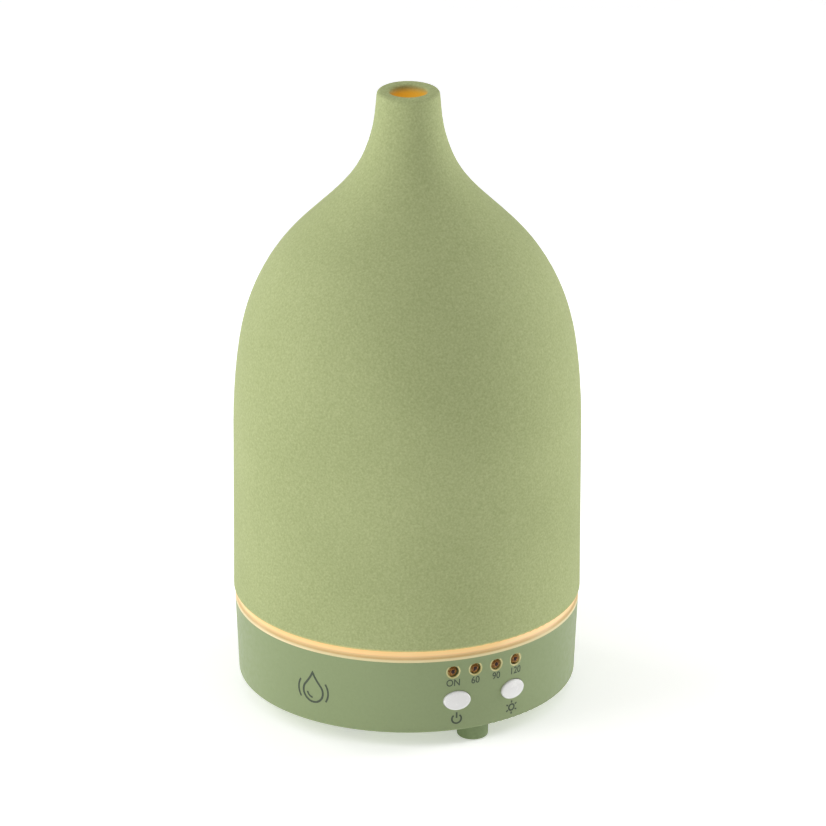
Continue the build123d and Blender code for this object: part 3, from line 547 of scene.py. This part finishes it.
def lathe(name, profile, segments, closed=False):
    """A solid of revolution about Z from (radius, z) points in millimetres; radius 0 makes a pole."""
    bm = bmesh.new()
    rings = []
    for r, z in profile:
        if r < 1e-6:
            rings.append([bm.verts.new((0, 0, z * MM))])
            continue
        ring = []
        for i in range(segments):
            a = 2 * math.pi * i / segments
            ring.append(bm.verts.new((r * MM * math.cos(a), r * MM * math.sin(a), z * MM)))
        rings.append(ring)
    pairs = list(zip(rings, rings[1:]))
    if closed:
        pairs.append((rings[-1], rings[0]))
    for a, b in pairs:
        for i in range(segments):
            j = (i + 1) % segments
            if len(a) == 1:
                bm.faces.new((a[0], b[i], b[j]))
            elif len(b) == 1:
                bm.faces.new((a[j], a[i], b[0]))
            else:
                bm.faces.new((a[i], b[i], b[j], a[j]))
    return from_bmesh(name, bm)


def wrap(mesh, angle, z, relief=False):
    """Lays a mesh (x across, y up, z out, in mm) onto the housing, as thin ink or at its true depth."""
    for v in mesh.vertices:
        high = z + v.co.y
        r = base_radius(high)
        a = math.radians(angle) + v.co.x / r
        if relief:
            r += v.co.z
        else:
            r += INK_ABOVE if v.co.z > 0 else -INK_BELOW
        v.co = Vector((r * math.sin(a), -r * math.cos(a), high)) * MM


def ribbon(bm, points, width, closed=False):
    """A printed line of constant width along points, as a thin closed slab."""
    n = len(points)
    sides = []
    for i, p in enumerate(points):
        before = points[(i - 1) % n] if closed or i > 0 else p
        after = points[(i + 1) % n] if closed or i < n - 1 else p
        d = Vector((after[0] - before[0], after[1] - before[1]))
        d.normalize()
        across = Vector((-d.y, d.x)) * width / 2
        left, right = Vector(p) + across, Vector(p) - across
        sides.append([bm.verts.new((q.x, q.y, h)) for h in (-1, 1) for q in (left, right)])
    spans = range(n if closed else n - 1)
    for i in spans:
        a, b = sides[i], sides[(i + 1) % n]
        bm.faces.new((a[2], a[3], b[3], b[2]))
        bm.faces.new((a[1], a[0], b[0], b[1]))
        bm.faces.new((a[0], a[2], b[2], b[0]))
        bm.faces.new((a[3], a[1], b[1], b[3]))
    if not closed:
        for s in (sides[0], sides[-1]):
            bm.faces.new((s[0], s[1], s[3], s[2]))


def arc(radius, start, end, count, rise=0.0):
    """Points along an arc centred at x 0 and a height, angles in degrees from +x."""
    made = []
    for i in range(count + 1):
        a = math.radians(start + (end - start) * i / count)
        made.append((radius * math.cos(a), rise + radius * math.sin(a)))
    return made


# ---------------------------------------------------------------- panel print


def legend(name, words, height, angle, z):
    """One printed word or number, centred."""
    curve = bpy.data.curves.new(name, "FONT")
    curve.body = words
    curve.align_x, curve.align_y = "CENTER", "CENTER"
    curve.size = height / CAP_SHARE
    curve.extrude = 0.5
    curve.offset = 0.03
    curve.resolution_u = 6
    text = bpy.data.objects.new(name + "_text", curve)
    bpy.context.scene.collection.objects.link(text)
    bpy.context.view_layer.update()
    mesh = bpy.data.meshes.new_from_object(text.evaluated_get(bpy.context.evaluated_depsgraph_get()))
    bpy.data.objects.remove(text)
    mesh.name = name
    mesh.transform(Matrix.Diagonal((LETTER_WIDTH, 1.0, 1.0, 1.0)))
    wrap(mesh, angle, z)
    return add_piece(name, mesh, INK, "base", smooth=False)


def drawn(name, draw, angle, z):
    """One printed symbol, drawn flat and laid on the housing."""
    bm = bmesh.new()
    draw(bm)
    mesh = from_bmesh(name, bm)
    wrap(mesh, angle, z)
    return add_piece(name, mesh, INK, "base", smooth=False)


def power_icon(bm):
    """A ring open at the top, with a bar through the gap."""
    line = 0.46
    ribbon(bm, arc(1.27, 128, 412, 40), line)
    ribbon(bm, [(0, 0.25), (0, 1.1), (0, 1.9)], line)


def sun_icon(bm):
    """A ring with six short rays."""
    ribbon(bm, arc(0.86, 0, 360, 36)[:-1], 0.44, closed=True)
    inner, outer = 1.30, 1.92
    for k in range(6):
        a = math.radians(90 + 60 * k)
        c, s = math.cos(a), math.sin(a)
        ribbon(bm, [(inner * c, inner * s), (outer * c, outer * s)], 0.42)


def drop_icon(bm):
    """A plain water drop in outline, with one short highlight line and a ripple either side."""
    radius, centre, shoulder, rise, steps = 3.0, -1.2, 35, 4.0, 8
    body = arc(radius, -180 - shoulder, shoulder, 40, centre)
    side_x = radius * math.cos(math.radians(shoulder))
    side_y = centre + radius * math.sin(math.radians(shoulder))
    flank = []
    for i in range(1, steps + 1):
        t = i / steps
        flank.append((side_x * (1 - t) ** 1.35, side_y + rise * t))
    mirrored = [(-x, y) for x, y in reversed(flank[:-1])]
    ribbon(bm, body + flank + mirrored, 0.56, closed=True)
    ribbon(bm, arc(1.75, 190, 265, 14, centre), 0.5)
    for side in (0, 180):
        ribbon(bm, arc(4.55, side - 34, side + 34, 18, -0.9), 0.5)


def panel_angle(node):
    """Angle round the housing, from its front toward +X, where a panel piece comes through."""
    low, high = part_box(node)
    x, z = (low.x + high.x) / 2 / MM, (low.z + high.z) / 2 / MM
    return math.degrees(math.asin(x / base_radius(z)))


def print_panel():
    for key in LAMPS:
        legend("legend_" + key, key.upper(), LEGEND_HEIGHT, panel_angle("indicator_" + key), LEGEND_Z)
    drawn("power_icon", power_icon, panel_angle("power_button"), ICON_Z)
    drawn("sun_icon", sun_icon, panel_angle("light_button"), ICON_Z)
    drawn("drop_mark", drop_icon, MARK_ANGLE, MARK_Z)


# ---------------------------------------------------------------- lamps


def lamp_lenses():
    """Clear dome-ended lenses in place of the CAD ones, each with a thin flange in its countersink."""
    r, skirt = LAMP_RADIUS, SKIRT_RADIUS
    for key in LAMPS:
        node = "indicator_" + key
        low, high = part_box(node)
        x, z = (low.x + high.x) / 2, (low.z + high.z) / 2
        length = (high.y - low.y) / MM
        profile = [(0.0, 0.0)]
        for i in range(1, 15):
            a = math.radians(90 * i / 14)
            profile.append((r * math.sin(a), DOME_HEIGHT * (1 - math.cos(a))))
        profile += [(r, length - 0.9), (skirt, length - 0.85), (skirt, length - 0.05)]
        profile += [(r, length), (0.0, length)]
        mesh = lathe(node + "_lens", profile, 48)
        rim = mesh.attributes.new("rim", "FLOAT", "POINT")
        for v, share in zip(mesh.vertices, rim.data):
            share.value = math.hypot(v.co.x, v.co.y) / MM / r
        turn = Matrix.Translation((x, low.y, z)) @ Matrix.Rotation(math.radians(-90), 4, "X")
        mesh.transform(turn)
        lens = add_piece(node + "_lens", mesh, LENS, "base")
        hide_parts(node)
        section = [(1.53, -0.62), (1.53, -0.26), (1.60, -0.12), (1.74, -0.04), (1.88, -0.04), (1.98, -0.09)]
        section += [(1.90, -0.20), (1.70, -0.38), (1.66, -0.62)]
        ring = lathe(node + "_flange", section, 48, closed=True)
        ring.transform(Matrix.Scale(1 / MM, 4))
        wrap(ring, panel_angle(node), z / MM, relief=True)
        add_piece(node + "_flange", ring, PAINTED_GLOW_FLANGE, "base")


# ---------------------------------------------------------------- studio


def camera():
    """The photograph's viewpoint: a long lens, a little above, from the front left."""
    az, el = math.radians(VIEW_AZIMUTH), math.radians(VIEW_ELEVATION)
    yaw, roll = math.radians(VIEW_YAW), math.radians(VIEW_ROLL)
    right = Vector((math.cos(az), math.sin(az), 0))
    level = Vector((-math.sin(az), math.cos(az), 0))
    forward = level * math.cos(el) - Vector((0, 0, math.sin(el)))
    up = level * math.sin(el) + Vector((0, 0, math.cos(el)))
    ahead = forward * math.cos(yaw) + right * math.sin(yaw)
    aside = right * math.cos(yaw) - forward * math.sin(yaw)
    rolled_right = aside * math.cos(roll) + up * math.sin(roll)
    rolled_up = up * math.cos(roll) - aside * math.sin(roll)
    data = bpy.data.cameras.new("photo_camera")
    data.sensor_width = SENSOR_WIDTH
    data.lens = FOCAL_LENGTH
    data.clip_start, data.clip_end = 0.05, 50.0
    cam = bpy.data.objects.new("photo_camera", data)
    bpy.context.scene.collection.objects.link(cam)
    m = Matrix((rolled_right, rolled_up, -ahead)).transposed().to_4x4()
    m.translation = Vector((0, 0, AIM_HEIGHT)) - forward * VIEW_DISTANCE
    cam.matrix_world = m
    bpy.context.scene.camera = cam
    return right, level


def area_light(name, at, aim, size, power):
    """A rectangular soft light that the camera doesn't see."""
    data = bpy.data.lights.new(name, "AREA")
    data.shape = "RECTANGLE"
    data.size, data.size_y = size
    data.energy = power
    light = bpy.data.objects.new(name, data)
    bpy.context.scene.collection.objects.link(light)
    light.location = at
    light.rotation_mode = "QUATERNION"
    light.rotation_quaternion = (aim - at).to_track_quat("-Z", "Y")
    light.visible_camera = False


def studio():
    """Camera, soft lights, a plain world that looks white but lights less, and the floor."""
    right, level = camera()
    for name, (across, back, height), size, power in LIGHTS:
        at = right * across + level * back + Vector((0, 0, height))
        area_light(name, at, Vector((0, 0, LIGHT_AIM)), size, power)

    world = bpy.data.worlds.new("studio")
    bpy.context.scene.world = world
    world.use_nodes = True
    t = world.node_tree
    sky = t.nodes["Background"]
    path = t.nodes.new("ShaderNodeLightPath")
    pick = t.nodes.new("ShaderNodeMix")
    pick.data_type = "FLOAT"
    t.links.new(path.outputs["Is Camera Ray"], pick.inputs[0])
    pick.inputs[2].default_value = WORLD_LIGHT
    pick.inputs[3].default_value = WORLD_SEEN
    t.links.new(pick.outputs[0], sky.inputs["Strength"])
    sky.inputs["Color"].default_value = (1, 1, 1, 1)

    floor_mesh = bpy.data.meshes.new("studio_floor")
    bm = bmesh.new()
    bmesh.ops.create_grid(bm, x_segments=8, y_segments=8, size=FLOOR_HALF)
    bm.to_mesh(floor_mesh)
    bm.free()
    floor_mesh.materials.append(floor_material())
    floor = bpy.data.objects.new("studio_floor", floor_mesh)
    bpy.context.scene.collection.objects.link(floor)
    bpy.context.scene.view_settings.view_transform = "Standard"


paint_nodes()
print_panel()
lamp_lenses()
studio()
